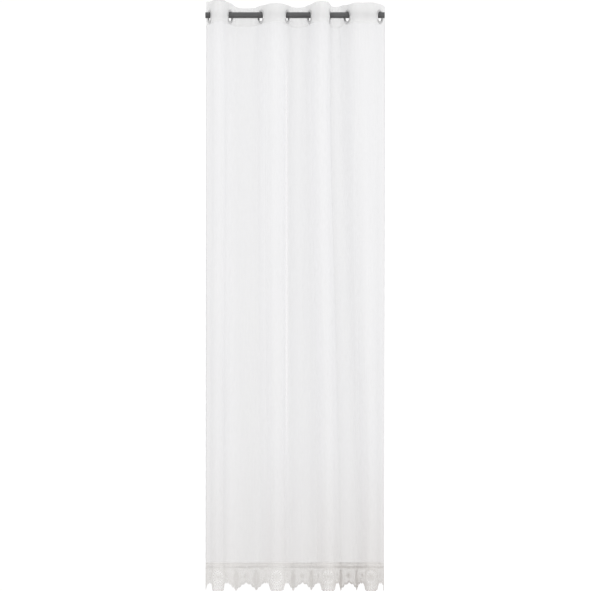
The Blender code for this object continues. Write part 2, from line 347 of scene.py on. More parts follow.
FOLD_STEPS = 144
FLAP_STEPS = 48
FOLD_LEVELS = 121
FOLD_COLUMNS = 1401

# How far the top edge stands above its mean in each fold and at its corners, and how much
# further the cloth turns between its last eyelet and its edge.
FOLD_RISES = (0.008, -0.005, -0.006, 0.004, 0.000, 0.009, 0.002)
LEFT_CORNER_RISE = 0.022
RIGHT_CORNER_RISE = 0.000
LEFT_EDGE_TURN = math.radians(4)
RIGHT_EDGE_TURN = math.radians(24)

# Soft creases laid in: where each runs along the cloth at its top and at the hem, the levels
# (0 at the heading, 1 at the band) between which it shows, its half width, and how far it
# stands forward. A trough has a negative height.
Crease = namedtuple("Crease", "top hem start end half_width height")
CREASES = (
    Crease(0.020, 0.030, 0.05, 1.30, 0.020, 0.0022),
    Crease(0.100, 0.088, 0.04, 0.55, 0.020, -0.0030),
    Crease(0.165, 0.176, 0.02, 1.30, 0.017, 0.0032),
    Crease(0.205, 0.222, 0.10, 0.80, 0.016, -0.0026),
    Crease(0.288, 0.270, 0.03, 0.62, 0.024, -0.0034),
    Crease(0.340, 0.352, 0.30, 1.30, 0.020, 0.0030),
    Crease(0.392, 0.380, 0.05, 1.30, 0.016, -0.0024),
    Crease(0.468, 0.482, 0.02, 0.90, 0.022, 0.0036),
    Crease(0.535, 0.520, 0.06, 1.30, 0.018, -0.0034),
    Crease(0.580, 0.590, 0.02, 0.70, 0.013, 0.0024),
    Crease(0.655, 0.640, 0.12, 1.30, 0.022, -0.0030),
    Crease(0.716, 0.738, 0.04, 0.75, 0.018, 0.0028),
    Crease(0.800, 0.782, 0.02, 1.30, 0.017, -0.0026),
    Crease(0.872, 0.892, 0.08, 1.30, 0.021, 0.0036),
    Crease(0.930, 0.915, 0.03, 0.60, 0.017, -0.0026),
    Crease(1.010, 1.030, 0.06, 1.30, 0.022, -0.0032),
    Crease(1.075, 1.060, 0.20, 0.95, 0.016, 0.0026),
    Crease(1.148, 1.136, 0.03, 1.30, 0.019, 0.0030),
    Crease(1.205, 1.225, 0.05, 0.85, 0.021, 0.0034),
    Crease(1.285, 1.268, 0.03, 1.30, 0.022, -0.0034),
    Crease(1.372, 1.362, 0.10, 1.30, 0.018, 0.0024),
)

# Fine unevenness: waves in a metre of cloth, how they sway on the way down, where they start,
# and how far they stand forward. The side edges pucker a little besides.
Wave = namedtuple("Wave", "count sway start height")
WAVES = (
    Wave(9.1, 1.7, 0.4, 0.00070),
    Wave(16.3, -2.3, 2.1, 0.00045),
    Wave(27.7, 3.1, 4.4, 0.00030),
)
PUCKER_REACH = 0.012
PUCKER_HEIGHT = 0.0005


def eased(share):
    share = np.clip(share, 0, 1)
    return share * share * (3 - 2 * share)


def fold_slants(share, start, end, fullness, lean):
    """How far the cloth is turned from the rod, at each share of the way round a fold."""
    swing = (start + end) / 2 - fullness
    offset = (end - start) / 2 - lean
    turned = offset + lean * np.cos(2 * math.pi * share)
    return turned - swing * np.cos(math.pi * share) - fullness * np.cos(3 * math.pi * share)


def walk(slants, step):
    """Points reached by walking over the cloth with these slants at the ends of each step."""
    between = (slants[1:] + slants[:-1]) / 2
    across = np.concatenate([[0.0], np.cumsum(np.cos(between)) * step])
    depth = np.concatenate([[0.0], np.cumsum(np.sin(between)) * step])
    return across, depth


def fold_curve(start, end, flat, width, values):
    """One fold between two eyelet lines; values are its fullness and lean, solved here."""
    along = np.linspace(0, EYELET_PITCH, FOLD_STEPS + 1)
    share = np.clip((along - flat) / (EYELET_PITCH - 2 * flat), 0, 1)
    step = EYELET_PITCH / FOLD_STEPS

    def ends_off(tried):
        across, depth = walk(fold_slants(share, start, end, *tried), step)
        return np.array([across[-1] - width, depth[-1]])

    nudge = 1e-6
    for _ in range(40):
        off = ends_off(values)
        if np.abs(off).max() < 1e-8:
            break
        slope = np.zeros((2, 2))
        for i in range(2):
            nudged = values.copy()
            nudged[i] += nudge
            slope[:, i] = (ends_off(nudged) - off) / nudge
        change = np.linalg.solve(slope, -off)
        values = values + change * min(1, 0.2 / np.abs(change).max())
    return *walk(fold_slants(share, start, end, *values), step), values


def flap_curve(slant, turn):
    """The cloth from the last eyelet to its edge."""
    along = np.linspace(0, EDGE_TO_EYELET, FLAP_STEPS + 1)
    turned = turn * np.clip((along - FLAT_AT_EYELET) / (EDGE_TO_EYELET - FLAT_AT_EYELET), 0, 1)
    return walk(slant + turned, EDGE_TO_EYELET / FLAP_STEPS)


def plan_of_folds(level, solved):
    """The folds seen from above at one level: distance along the cloth, across, and depth."""
    drift = eased(level)
    places = [line.top_x + (line.hem_x - line.top_x) * drift for line in EYELET_LINES]
    slants = [
        math.radians(line.top_slant + (line.hem_slant - line.top_slant) * drift)
        for line in EYELET_LINES
    ]
    flat = FLAT_AT_EYELET + (FLAT_AT_HEM - FLAT_AT_EYELET) * eased(level / FLAT_FADE)

    x, y = flap_curve(slants[0], LEFT_EDGE_TURN)
    along = np.linspace(0, EDGE_TO_EYELET, len(x))
    runs = [np.array([along, (places[0] - x)[::-1], y[::-1]])]
    for i in range(len(EYELET_LINES) - 1):
        width = places[i + 1] - places[i]
        x, y, solved[i] = fold_curve(slants[i], slants[i + 1], flat, width, solved[i])
        along = EDGE_TO_EYELET + i * EYELET_PITCH + np.linspace(0, EYELET_PITCH, len(x))
        runs.append(np.array([along, places[i] + x, y if i % 2 == 0 else -y]))
    x, y = flap_curve(slants[-1], RIGHT_EDGE_TURN)
    along = CLOTH_WIDTH - EDGE_TO_EYELET + np.linspace(0, EDGE_TO_EYELET, len(x))
    runs.append(np.array([along, places[-1] + x, y]))
    return np.concatenate([run[:, :-1] for run in runs[:-1]] + runs[-1:], axis=1)


def fold_table():
    """Across and depth for every level (rows) at even distances along the cloth (columns)."""
    solved = [np.zeros(2) for _ in EYELET_LINES[1:]]
    columns = np.linspace(0, CLOTH_WIDTH, FOLD_COLUMNS)
    across, depth = [], []
    for level in np.linspace(0, 1, FOLD_LEVELS):
        along, x, y = plan_of_folds(level, solved)
        across.append(np.interp(columns, along, x))
        depth.append(np.interp(columns, along, y))
    across, depth = np.array(across), np.array(depth)
    step = columns[1] - columns[0]
    slopes = np.gradient(across, step, axis=1), np.gradient(depth, step, axis=1)
    return np.array([across, depth, *slopes])


FOLDS = fold_table()


def ripple(along, level):
    """How far the cloth stands forward of its plain fold: creases and fine unevenness."""
    forward = np.zeros(np.broadcast(along, level).shape)
    for crease in CREASES:
        middle = crease.top + (crease.hem - crease.top) * level
        shape = np.exp(-(((along - middle) / crease.half_width) ** 2))
        shown = eased((level - crease.start) / 0.10) * eased((crease.end - level) / 0.22)
        forward = forward + crease.height * shape * shown
    for wave in WAVES:
        sway = wave.sway * 0.3 * np.sin(2.2 * level + wave.start)
        phase = 2 * math.pi * (wave.count * along + sway) + wave.start
        shown = 0.6 + 0.4 * np.sin(3.7 * level + 2 * wave.start)
        forward = forward + wave.height * np.sin(phase) * shown
    to_edge = np.minimum(along, CLOTH_WIDTH - along)
    pucker = np.sin(level * 251 + 1.1 * np.sin(level * 43)) * np.exp(-to_edge / PUCKER_REACH)
    forward = forward + PUCKER_HEIGHT * pucker
    return forward * eased((level - 0.004) / 0.05)


def hang(along, height, proud=0.0):
    """Where points of the flat cloth hang, and which way the cloth's front faces there."""
    along, height, proud = np.broadcast_arrays(
        np.asarray(along, float), np.asarray(height, float), np.asarray(proud, float)
    )
    level = np.clip((HEADING_SEAM - height) / (HEADING_SEAM - BAND_SEAM), 0, 1)
    row = level * (FOLD_LEVELS - 1)
    column = np.clip(along / CLOTH_WIDTH, 0, 1) * (FOLD_COLUMNS - 1)
    top = np.minimum(row.astype(int), FOLD_LEVELS - 2)
    left = np.minimum(column.astype(int), FOLD_COLUMNS - 2)
    down, right = row - top, column - left
    upper = FOLDS[:, top, left] * (1 - right) + FOLDS[:, top, left + 1] * right
    lower = FOLDS[:, top + 1, left] * (1 - right) + FOLDS[:, top + 1, left + 1] * right
    x, y, slope_x, slope_y = upper * (1 - down) + lower * down
    size = np.hypot(slope_x, slope_y)
    front = np.stack([slope_y / size, -slope_x / size, np.zeros(size.shape)], -1)
    clamped = EYELET_RIM_RADIUS * (1 - np.minimum(1, level / FLAT_FADE))
    z = height - LIFT_RATE * np.sign(y) * np.maximum(0, np.abs(y) - clamped)
    forward = (proud + ripple(along, level))[..., None]
    return np.stack([x, y, z], -1) + front * forward, front


def top_rise(along):
    """How far the top edge stands above its mean height."""
    places, rises = [0.0], [LEFT_CORNER_RISE]
    for i, line in enumerate(EYELET_LINES):
        places.append(EDGE_TO_EYELET + i * EYELET_PITCH)
        rises.append(line.rise)
        if i < len(FOLD_RISES):
            places.append(places[-1] + EYELET_PITCH / 2)
            rises.append(FOLD_RISES[i])
    places, rises = np.array([*places, CLOTH_WIDTH]), np.array([*rises, RIGHT_CORNER_RISE])
    i = np.clip(np.searchsorted(places, along, side="right") - 1, 0, len(places) - 2)
    share = (along - places[i]) / (places[i + 1] - places[i])
    return rises[i] + (rises[i + 1] - rises[i]) * eased(share)


def new_piece(name, points, faces, flat=None):
    """A mesh piece. flat holds each point's place on the cut cloth, kept as the map "cut"."""
    mesh = bpy.data.meshes.new(name)
    mesh.from_pydata(points.tolist(), [], faces)
    if flat is not None:
        corners = np.zeros(len(mesh.loops), np.int32)
        mesh.loops.foreach_get("vertex_index", corners)
        layer = mesh.uv_layers.new(name="cut")
        layer.uv.foreach_set("vector", flat[corners].astype(np.float32).ravel())
    mesh.shade_smooth()
    return new_object(name, mesh)


def grid_faces(rows, columns):
    """Quads that face the front, for points listed row by row from the top."""
    corner = (np.arange(rows - 1)[:, None] * columns + np.arange(columns - 1)).ravel()
    return np.stack([corner, corner + columns, corner + columns + 1, corner + 1], 1)


def apply_modifiers(piece):
    select_only(piece)
    for modifier in list(piece.modifiers):
        bpy.ops.object.modifier_apply(modifier=modifier.name)


def thicken(piece, thickness):
    """Gives a sheet its thickness, half of it on each face."""
    layers = piece.modifiers.new("Layers", "SOLIDIFY")
    layers.thickness = thickness
    layers.offset = 0


def heading_cloth():
    columns = np.linspace(0, CLOTH_WIDTH, HEADING_COLUMNS)
    share = np.linspace(0, 1, HEADING_ROWS)[:, None]
    heights = (TOP_EDGE + top_rise(columns)) * (1 - share) + HEADING_SEAM * share
    flat = np.stack([np.broadcast_to(columns, heights.shape), heights], -1).reshape(-1, 2)
    faces = grid_faces(HEADING_ROWS, HEADING_COLUMNS)
    for i in range(len(EYELET_LINES)):
        centre = np.array([EDGE_TO_EYELET + i * EYELET_PITCH, EYELET_HEIGHT])
        middles = flat[faces].mean(1) - centre
        faces = faces[np.hypot(*middles.T) > HEADING_HOLE + HOLE_CUT]
        away = flat - centre
        distance = np.hypot(*away.T)
        near = distance < HEADING_HOLE + HOLE_DRAWN
        flat[near] = centre + away[near] / distance[near, None] * HEADING_HOLE
    used = np.unique(faces)
    renumbered = np.zeros(len(flat), int)
    renumbered[used] = np.arange(len(used))
    flat = flat[used]
    points, _ = hang(flat[:, 0], flat[:, 1])
    piece = new_piece("heading_cloth", points, renumbered[faces].tolist(), flat)
    thicken(piece, HEADING_THICKNESS)
    fold = piece.modifiers.new("Turned edge", "BEVEL")
    fold.width = TURNED_EDGE
    fold.segments = 2
    fold.limit_method = "ANGLE"
    fold.angle_limit = math.radians(60)
    apply_modifiers(piece)
    return piece


def cord_piece(name, runs, sides=6):
    """Cords, threads or stitches lying on the cloth, joined as one mesh.

    A run is its flat points and, for each, its half width, half depth and height proud.
    """
    points, faces, flats = [], [], []
    count = 0
    turns = 2 * math.pi * np.arange(sides) / sides
    for flat, half_width, half_depth, proud in runs:
        middle, front = hang(flat[:, 0], flat[:, 1], proud)
        ahead = np.gradient(middle, axis=0)
        ahead /= np.linalg.norm(ahead, axis=1)[:, None]
        sideways = np.cross(ahead, front)
        sideways /= np.linalg.norm(sideways, axis=1)[:, None]
        outward = np.cross(sideways, ahead)
        rim = (
            middle[:, None]
            + sideways[:, None] * (np.cos(turns)[:, None] * np.reshape(half_width, (-1, 1, 1)))
            + outward[:, None] * (np.sin(turns)[:, None] * np.reshape(half_depth, (-1, 1, 1)))
        )
        points.append(rim.reshape(-1, 3))
        flats.append(np.repeat(flat, sides, axis=0))
        start = count + np.arange(len(flat) - 1)[:, None] * sides
        this = start + np.arange(sides)
        following = start + (np.arange(sides) + 1) % sides
        quads = np.stack([this, this + sides, following + sides, following], -1)
        faces.extend(quads.reshape(-1, 4).tolist())
        faces.append([count + i for i in range(sides)])
        faces.append([count + (len(flat) - 1) * sides + i for i in reversed(range(sides))])
        count += len(flat) * sides
    return new_piece(name, np.concatenate(points), faces, np.concatenate(flats))


def straight_stitches(first, last, faces):
    """A row of lockstitches from one flat point to another, each a little grain of thread,
    on both of the cloth's faces, which are given by how proud they are."""
    first, last = np.array(first, float), np.array(last, float)
    count = round(np.linalg.norm(last - first) / STITCH_LENGTH)
    places = first + (last - first) * np.linspace(0, 1, count + 1)[:, None]
    share = np.array([0.08, 0.2, 0.5, 0.8, 0.92])[:, None]
    swell = np.array([0.35, 0.85, 1.0, 0.85, 0.35])
    size = THREAD_HALF_WIDTH * swell, THREAD_HALF_DEPTH * swell
    return [
        (one + (other - one) * share, *size, face + THREAD_PROUD * np.sign(face))
        for face in faces
        for one, other in zip(places, places[1:])
    ]


def level_stitches(height, half_thickness):
    """A row of stitches along the whole width of the cloth."""
    ends = (STITCHES_IN, height), (CLOTH_WIDTH - STITCHES_IN, height)
    return straight_stitches(*ends, (half_thickness, -half_thickness))


def woven(name, colour, shade, painted_shade_colour, cover, thread, glow, painted_highlights=(), painted_light_behind=0.0):
    """Plain-woven cloth, painted darker low down and towards the right as painted shade. cover is
    how much of it is thread, glow is how much of its light comes from behind, each pale line is
    made opener as a painted highlight, and the last value is how much less of it is thread where
    a fold is drawn back behind the rod, which lets the white surround through as painted light."""
    tone = new_finish(name)
    flat = tone.cut()
    u, v = flat.axis("X"), flat.axis("Y")
    warp = tone.maths("SINE", u * (math.pi / thread))
    weft = tone.maths("SINE", v * (math.pi / thread))
    threads = tone.maths("MAXIMUM", warp * warp, weft * weft)
    warp_slubs = tone.cut(620.0, 5.0, 1.0).cloudy(detail=2.0).within(0.25, 0.75)
    weft_slubs = tone.cut(7.0, 480.0, 1.0).cloudy(detail=2.0).within(0.25, 0.75)
    slubs = warp_slubs * 0.65 + weft_slubs * 0.35
    wide = tone.cut(6.0, 2.2, 1.0).cloudy(detail=2.0).within(0.3, 0.7)
    before_painted_shade = (slubs * 0.45 + wide * 0.55).colours(shade, colour)
    # Painted shade: darker from one height down to the other, and more so towards the right.
    low = v.within(PAINTED_SHADE_BELOW, DEEPEST_PAINTED_SHADE_BELOW) * (0.42 + 0.42 * u)
    lit = tone.surface(
        base_color=low.colours(before_painted_shade, painted_shade_colour),
        roughness=0.82,
        sheen_weight=0.15,
        normal=(threads + slubs * 0.6).relief(thread * 0.2, 0.4),
    )
    lit_through = tone.node("ShaderNodeBsdfTranslucent", None, {"Color": (*colour, 1.0)})
    open_weave = tone.node("ShaderNodeBsdfTransparent")
    closed = (threads - 0.75) * 0.16 + (slubs - 0.5) * 0.09 + cover
    # Painted light: the weave opens where a fold is drawn back behind the rod, so the white
    # surround lightens that shaded recess.
    if painted_light_behind > 0:
        depth = tone.metres().axis("Y")
        closed = closed - depth.within(-FULLY_BEHIND, FULLY_BEHIND) * painted_light_behind
    level = (v - HEADING_SEAM) * (1 / (BAND_SEAM - HEADING_SEAM))
    # Painted highlights: the weave opens along each pale line.
    for line in painted_highlights:
        away = tone.maths("ABSOLUTE", u - line.top - level * (line.hem - line.top))
        starts = level.within(line.start, line.start + 0.06)
        ends = level.within(line.end - 0.20, line.end)
        shown = starts * (1.0 - ends) * (1.0 - away.within(0.0, line.half_width))
        closed = closed - shown * line.strength
    cloth = tone.mixed(glow, lit, lit_through)
    tone.mixed(closed.within(0.0, 1.0), open_weave, cloth).close()


def sewing_thread():
    tone = new_finish("sewing_thread")
    ply = tone.cut(2600.0, 2600.0, 1.0).cloudy(detail=1.0).within(0.3, 0.7)
    shader = tone.surface(
        base_color=ply.colours((0.74, 0.74, 0.745), (0.88, 0.88, 0.88)),
        roughness=0.55,
        normal=ply.relief(0.0001),
    )
    shader.close()


# The heading is made sheerer where a fold is drawn behind the rod, as painted light.
woven(
    "stiffened_voile",
    colour=(0.98, 0.98, 0.98),
    shade=(0.955, 0.955, 0.96),
    painted_shade_colour=(0.955, 0.955, 0.96),
    cover=0.84,
    thread=0.0007,
    glow=0.52,
    painted_light_behind=0.26,
)
sewing_thread()
heading = heading_cloth()
wear(heading, "stiffened_voile")
runs = level_stitches(HEADING_SEAM + STITCHES_UP, HEADING_THICKNESS / 2)
stitches = cord_piece("heading_stitches", runs, 5)
wear(stitches, "sewing_thread")
for piece in (heading, stitches):
    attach(piece, "root")
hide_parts("heading")


# -------- Voile panel
# One width of fine white voile, so thin that the folds behind show through it. Each side is
# turned to the back in a 14 mm hem and sewn down. It hangs from the heading's seam in seven
# deep folds, of which the right-hand ones drift to the right on the way down.

SIDE_HEM = 0.014
HEM_GAP = 0.0005
HEM_FOLD = 0.0003
HEM_STITCHES_IN = 0.012
HEM_STITCHES_PROUD = 0.0001
SEAM_GAP = 0.0002
VOILE_COLUMNS = 361
VOILE_ROWS = 151

# Painted highlights: faint pale lines along the edges of three folds, where the weave is made
# less closed so that the white surround shows through. Each is given as a crease is, with how
# much less closed the weave is in its middle.
PaintedHighlight = namedtuple("PaintedHighlight", "top hem start end half_width strength")
PAINTED_HIGHLIGHTS = (
    PaintedHighlight(0.598, 0.588, 0.05, 0.86, 0.016, 0.32),
    PaintedHighlight(0.472, 0.434, 0.08, 0.66, 0.008, 0.09),
    PaintedHighlight(1.240, 1.120, 0.12, 0.84, 0.008, 0.09),
)


def hung_sheet(name, along, heights, proud=0.0, cut_at=None):
    """A sheet whose grid of flat points hangs in the folds. cut_at is each column's place on
    the cut cloth, where that differs from its place along the hung one."""
    along, heights = np.broadcast_arrays(along, heights)
    points, _ = hang(along, heights, proud)
    flat = np.stack(np.broadcast_arrays(along if cut_at is None else cut_at, heights), -1)
    faces = grid_faces(*along.shape).tolist()
    return new_piece(name, points.reshape(-1, 3), faces, flat.reshape(-1, 2))


def voile_cloth():
    """The voile with its hems turned back. Each column is its place along, how proud it is,
    and its place on the cut cloth."""
    turned = np.array([1.0, 0.66, 0.33, 0.08]) * SIDE_HEM
    hem = [(place, -HEM_GAP, -place) for place in turned]
    hem.append((HEM_FOLD, -HEM_GAP / 2, -HEM_FOLD))
    body = [(place, 0.0, place) for place in np.linspace(0, CLOTH_WIDTH, VOILE_COLUMNS)]
    other_hem = [(CLOTH_WIDTH - a, b, CLOTH_WIDTH - c) for a, b, c in reversed(hem)]
    along, proud, cut_at = np.array(hem + body + other_hem).T
    heights = np.linspace(HEADING_SEAM - SEAM_GAP, BAND_SEAM + SEAM_GAP, VOILE_ROWS)
    return hung_sheet("voile_cloth", along, heights[:, None], proud, cut_at)


# The voile is painted darker towards the hem and the right as painted shade, made sheerer behind
# the rod as painted light, and given three painted highlights.
woven(
    "fine_voile",
    colour=(0.93, 0.93, 0.94),
    shade=(0.885, 0.885, 0.905),
    painted_shade_colour=(0.75, 0.715, 0.695),
    cover=0.80,
    thread=0.0006,
    glow=0.48,
    painted_highlights=PAINTED_HIGHLIGHTS,
    painted_light_behind=0.11,
)
voile = voile_cloth()
wear(voile, "fine_voile")
runs = []
for along in (HEM_STITCHES_IN, CLOTH_WIDTH - HEM_STITCHES_IN):
    ends = (along, HEADING_SEAM - STITCHES_IN), (along, BAND_SEAM + STITCHES_IN)
    runs += straight_stitches(*ends, (HEM_STITCHES_PROUD, -HEM_GAP - HEM_STITCHES_PROUD))
stitches = cord_piece("side_hem_stitches", runs, 4)
wear(stitches, "sewing_thread")
for piece in (voile, stitches):
    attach(piece, "root")
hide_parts("voile_panel")


# -------- Footing band
# A narrow woven cotton tape, 18 mm deep, that joins the lace to the voile. Both of its edges
# are corded, so it reads as a double line, and it is sewn down just inside each cord.

LACE_SEAM = -2.2930
BAND_ROWS = 9
BAND_THICKNESS = 0.0009
EDGE_CORD = 0.0022
BAND_STITCHES_IN = 0.0042
PLY_PITCH = 0.0016

# The cotton is painted darker, as painted shade, from the one place along the cloth to the
# other.
PAINTED_SHADE_FROM = 0.66
DEEPEST_PAINTED_SHADE_FROM = 1.05
LACE_PAINTED_SHADE = (0.62, 0.575, 0.545)


def band_tape():
    columns = np.linspace(0, CLOTH_WIDTH, VOILE_COLUMNS)
    heights = np.linspace(BAND_SEAM, LACE_SEAM, BAND_ROWS)
    piece = hung_sheet("band_tape", columns, heights[:, None])
    thicken(piece, BAND_THICKNESS)
    apply_modifiers(piece)
    return piece


def corded_yarn():
    """Cotton yarn, twisted in slanting plies, painted darker towards the right as painted shade.
    """
    tone = new_finish("corded_yarn")
    flat = tone.cut()
    u, v = flat.axis("X"), flat.axis("Y")
    ply = tone.maths("SINE", (u + v * 0.7) * (2 * math.pi / PLY_PITCH)) * 0.5 + 0.5
    fuzz = tone.cut(900.0, 900.0, 1.0).cloudy()
    wide = tone.cut(11.0, 16.0, 1.0).cloudy().within(0.3, 0.7)
    tint = ply * 0.35 + fuzz * 0.3 + wide * 0.35
    before_painted_shade = tint.colours((0.93, 0.92, 0.91), (0.99, 0.985, 0.98))
    # Painted shade towards the right.
    painted_shade = u.within(PAINTED_SHADE_FROM, DEEPEST_PAINTED_SHADE_FROM) * 0.38
    cotton = tone.surface(
        base_color=painted_shade.colours(before_painted_shade, LACE_PAINTED_SHADE),
        roughness=0.88,
        sheen_weight=0.1,
        normal=(ply + fuzz * 0.5).relief(0.0003, 0.7),
    )
    cotton.close()


def level_run(height, half_width, half_depth):
    """A cord that runs level along the whole width of the cloth."""
    along = np.linspace(0.0005, CLOTH_WIDTH - 0.0005, 561)
    return np.stack([along, np.full(along.shape, height)], 1), half_width, half_depth, 0.0


# The tape is painted darker towards the right as painted shade.
woven(
    "cotton_tape",
    colour=(0.97, 0.965, 0.96),
    shade=(0.935, 0.925, 0.915),
    painted_shade_colour=(0.82, 0.79, 0.77),
    cover=0.66,
    thread=0.0010,
    glow=0.48,
)
corded_yarn()
band = band_tape()
wear(band, "cotton_tape")
inset = EDGE_CORD / 2
runs = [level_run(at, inset, inset * 0.7) for at in (BAND_SEAM - inset, LACE_SEAM + inset)]
cords = cord_piece("band_cords", runs, 8)
wear(cords, "corded_yarn")
runs = []
for height in (BAND_SEAM - BAND_STITCHES_IN, LACE_SEAM + BAND_STITCHES_IN):
    runs += level_stitches(height, BAND_THICKNESS / 2)
stitches = cord_piece("band_stitches", runs, 4)
wear(stitches, "sewing_thread")
for piece in (band, cords, stitches):
    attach(piece, "root")
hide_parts("footing_band")


# -------- Lace border
# Cotton lace on a fine diamond net. In each repeat a ribbed fan hangs at the tip of a fold
# that comes forward, with leaves, rosettes and swags between the fans. The motifs are raised
# in corded yarn, and the edge is bound with a thicker cord in arches and points.

LACE_ARCH_TOP = -2.3560
LACE_COLUMNS = 1261
LACE_ROWS = 55
LACE_REPEAT = 2 * EYELET_PITCH
LACE_START = EDGE_TO_EYELET + EYELET_PITCH / 2
REPEATS = range(-1, 5)
LaceTooth = namedtuple("LaceTooth", "place half_width drop hollow")
LACE_TEETH = (
    LaceTooth(0.000, 0.052, 0.051, 0.60),
    LaceTooth(0.142, 0.044, 0.031, 1.50),
    LaceTooth(0.227, 0.042, 0.029, 1.50),
)
SCALLOP_LENGTH = 0.0220
SCALLOP_DROP = 0.0090
PICOT_SPACING = 0.0052
NET_PITCH = 0.0032
LACE_MARGIN = 0.001
SIDE_CORD_IN = 0.0008

# How far in from the edge each of its two cords lies, and its width.
EDGE_CORDS = ((0.0008, 0.0028), (0.0048, 0.0015))

# The wheel. Each ring is its share of the way out from the hub and its cord's width.
WHEEL_HEIGHT = -2.3350
WHEEL_ACROSS = 0.0385
WHEEL_UP = 0.0325
WHEEL_RINGS = ((1.0, 0.0026), (0.66, 0.0019), (0.17, 0.0019))
WHEEL_PETALS = 10
PETAL_START, PETAL_TIP = 0.20, 0.64
WHEEL_ARCHES = 18
FAN_RIB = 12.0

# Filled work lies along the edge and above a height, and ends this softly there and round
# a motif.
FILLED_EDGE = 0.0060
FILLED_ABOVE = -2.2980
SOFT_EDGE = 0.0012
SOFT_MOTIF = 0.0015

# Places in one repeat are measured across from the wheel's hub. A flower has its radius
# after them, and a swag its ends' places, its bow, its points and its cord's width.
LEAF_PLACES = (0.142, -0.141)
LEAF_TOP, LEAF_TIP, LEAF_HALF = -2.3050, -2.3815, 0.0125
LEAF_VEINS = (0.20, 0.34, 0.48, 0.62, 0.76)
FLOWERS = ((0.1845, -2.3290, 0.0115), (0.0790, -2.3270, 0.0095), (-0.0790, -2.3270, 0.0095))
LOOPS = 16
LOOP_HEIGHT = -2.2975
SWAGS = (
    ((0.0450, -2.3480), (0.1180, -2.3490), 0.0080, 19, 0.0016),
    ((0.0560, -2.3415), (0.0720, -2.3345), 0.0015, 6, 0.0013),
)


def plain_edge(along):
    """Height of the lace's lower edge: arches, with a point or a fan at each tooth."""
    phase = (along - LACE_START) % LACE_REPEAT
    drop = np.zeros(np.shape(along))
    for tooth in LACE_TEETH:
        away = np.abs(phase - tooth.place)
        away = np.minimum(away, LACE_REPEAT - away)
        share = np.maximum(0, 1 - away / tooth.half_width)
        drop = np.maximum(drop, tooth.drop * share**tooth.hollow)
    return LACE_ARCH_TOP - drop


def length_along(places, heights):
    """How long an edge is from its left end to each of its places."""
    return np.concatenate([[0.0], np.cumsum(np.hypot(np.diff(places), np.diff(heights)))])


def scallop_counts():
    """Places along the edge and how many scallops lie before each: a whole number of them
    from the tip of one tooth to the tip of the next."""
    starts = LACE_START + LACE_REPEAT * np.array(REPEATS)[:, None]
    tips = (starts + [tooth.place for tooth in LACE_TEETH]).ravel()
    places = np.linspace(tips[0], tips[-1], 8001)
    lengths = length_along(places, plain_edge(places))
    at_tips = np.interp(tips, places, lengths)
    whole = np.cumsum(np.round(np.diff(at_tips) / SCALLOP_LENGTH))
    return places, np.interp(lengths, at_tips, [0, *whole])


SCALLOPS = scallop_counts()


def lace_edge(along):
    """The plain edge with small scallops worked all along it, a little above and below it."""
    scallop = np.abs(np.cos(math.pi * np.interp(along, *SCALLOPS)))
    return plain_edge(along) + SCALLOP_DROP * (0.5 - scallop)


def ring(centre, across, up, count):
    turned = np.linspace(0, 2 * math.pi, count)
    return np.stack([centre[0] + across * np.cos(turned), centre[1] + up * np.sin(turned)], 1)


def bowed(start, end, bow, count):
    """A line from start to end that bows out to its left by bow."""
    start, end = np.array(start, float), np.array(end, float)
    share = np.linspace(0, 1, count)[:, None]
    along = end - start
    left = np.array([-along[1], along[0]]) / np.hypot(*along)
    return start + along * share + left * bow * 4 * share * (1 - share)


def on_wheel(turned, size):
    """The wheel's point at an angle in degrees, size of the way out from its hub."""
    turned = math.radians(turned)
    across = WHEEL_ACROSS * size * math.cos(turned)
    return np.array([across, WHEEL_HEIGHT + WHEEL_UP * size * math.sin(turned)])


# A stroke is the flat points that a cord follows and the cord's width.
def wheel_strokes():
    """The wheel: three rings, a flower of petals round the hub, and arches at the rim."""
    hub = (0.0, WHEEL_HEIGHT)
    for size, width in WHEEL_RINGS:
        count = 9 + round(36 * size)
        yield ring(hub, WHEEL_ACROSS * size, WHEEL_UP * size, count), width
    for turned in np.arange(0, 360, 360 / WHEEL_PETALS):
        ends = on_wheel(turned, PETAL_START), on_wheel(turned, PETAL_TIP)
        for bow in (0.0034, -0.0034):
            yield bowed(*ends, bow, 7), 0.0014
    step = 360 / WHEEL_ARCHES
    for turned in np.arange(0, 360, step):
        ends = on_wheel(turned, 0.68), on_wheel(turned + step, 0.68)
        yield bowed(*ends, -0.0085, 7), 0.0014


def fan_strokes():
    """Ribs that run on from the wheel to the tooth's edge, tied across and scalloped."""
    middles, ends = [], []
    for turned in np.linspace(-156, -24, 12):
        start = on_wheel(turned, 1.04)
        way = start - (0.0, WHEEL_HEIGHT)
        way /= np.hypot(*way)
        reach = np.linspace(0, 0.05, 126)
        places = start + way * reach[:, None]
        inside = places[:, 1] > lace_edge(LACE_START + places[:, 0]) + 0.0058
        ends.append(start + way * reach[inside].max(initial=0.002))
        middles.append((start + ends[-1]) / 2)
        yield bowed(start, ends[-1], 0.0, 4), 0.0024
    for places, bow, width in ((middles, -0.0006, 0.0013), (ends, -0.0018, 0.0016)):
        for one, other in zip(places, places[1:]):
            yield bowed(one, other, bow, 5), width


def leaf_reach(share):
    """Half the leaf's width, at each share of the way from its stalk to its tip."""
    return LEAF_HALF * 4 * share * (1 - share)


